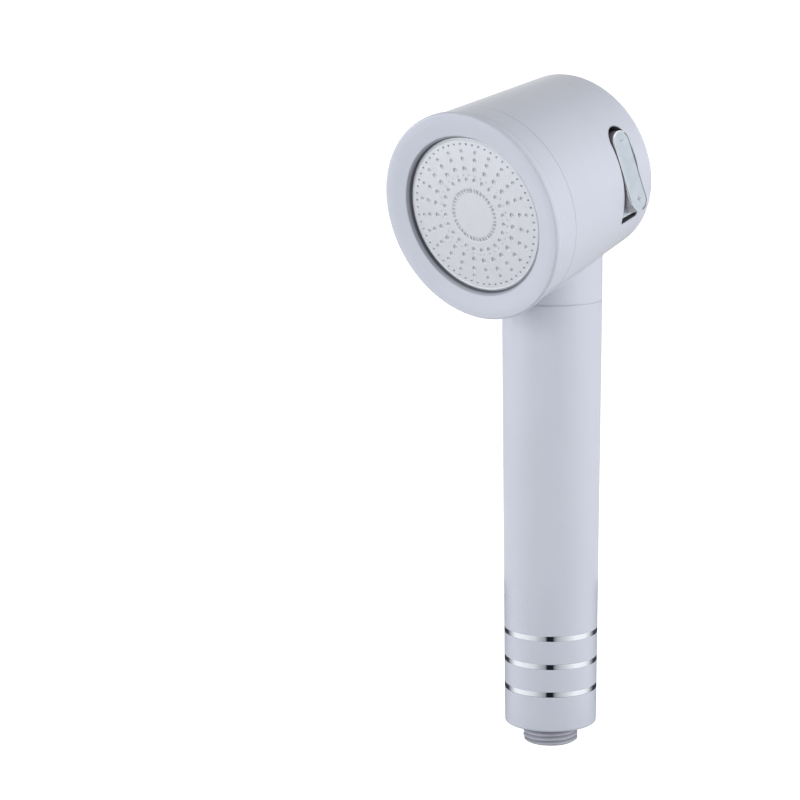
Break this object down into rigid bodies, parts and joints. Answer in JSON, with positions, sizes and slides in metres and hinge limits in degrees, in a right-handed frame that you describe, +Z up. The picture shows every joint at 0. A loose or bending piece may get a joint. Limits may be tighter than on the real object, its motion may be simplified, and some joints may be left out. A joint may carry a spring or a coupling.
{
  "type": "handheld shower head",
  "caption": "Round-headed handheld shower with a side rocker that pauses the water, a perforated spray plate and a silicone brush on its back.",
  "frame": {"origin": "centre of the sealing face at the lower end of the hose thread", "axes": "+Z up along the handle; the head looks towards -Y, tilted a little down; the rocker is on the +X side"},
  "size_m": [0.0786, 0.0839, 0.2568],
  "materials": {
    "shell": "gloss",
    "nipple": "gloss",
    "chrome": "polished",
    "rocker": "satin silver",
    "steel": "satin",
    "silicone": "matt",
    "seal": "matt",
    "inner_plastic": "matt"
  },
  "bodies": {
    "handle": {"brush_backing": "inner_plastic", "brush_pad": "silicone", "brush_snap_ring": "inner_plastic", "chamber_plate": "inner_plastic", "chamber_seal": "seal", "chrome_ring_lower": "chrome", "chrome_ring_middle": "chrome", "chrome_ring_upper": "chrome", "end_cap": "shell", "flow_restrictor": "inner_plastic", "handle_sleeve": "shell", "head_shell": "shell", "inlet_nipple": "nipple", "neck_seal": "seal", "rocker_pin": "steel", "rocker_tray": "inner_plastic", "spacer_ring_lower": "shell", "spacer_ring_upper": "shell", "tube_seal_lower": "seal", "tube_seal_upper": "seal", "tube_spacer_lower": "inner_plastic", "tube_spacer_upper": "inner_plastic", "valve_body": "inner_plastic", "valve_gland": "inner_plastic", "water_tube": "inner_plastic"},
    "rocker": {"rocker_paddle": "rocker"},
    "spool": {"valve_spool": "inner_plastic", "spool_seal_lower": "seal", "spool_seal_upper": "seal"},
    "spray_face": {"spray_plate": "steel", "plate_gasket": "seal"},
    "collar": {"face_collar": "shell"}
  },
  "joints": [
    {"name": "rocker_tilt", "type": "hinge", "parent": "handle", "child": "rocker", "pos_m": [0.027, 0.00077, 0.22188], "axis": [0, -0.9724, -0.2334], "range_deg": [-22.41, 0]},
    {"name": "spool_slide", "type": "slide", "parent": "handle", "child": "spool", "axis": [0, -0.2334, 0.9724], "range_m": [0, 0.00505]},
    {"name": "face_slide", "type": "slide", "parent": "handle", "child": "spray_face", "axis": [0, -0.9724, -0.2334], "range_m": [0, 0.0045]},
    {"name": "collar_turn", "type": "hinge", "parent": "spray_face", "child": "collar", "pos_m": [0, -0.03632, 0.21102], "axis": [0, -0.9724, -0.2334], "range_deg": [0, 540]}
  ],
  "couplings": [
    {"joint": "rocker_tilt", "follows": "spool_slide", "rad_per_m": -77.43},
    {"joint": "face_slide", "follows": "collar_turn", "m_per_rad": 0.000477}
  ]
}
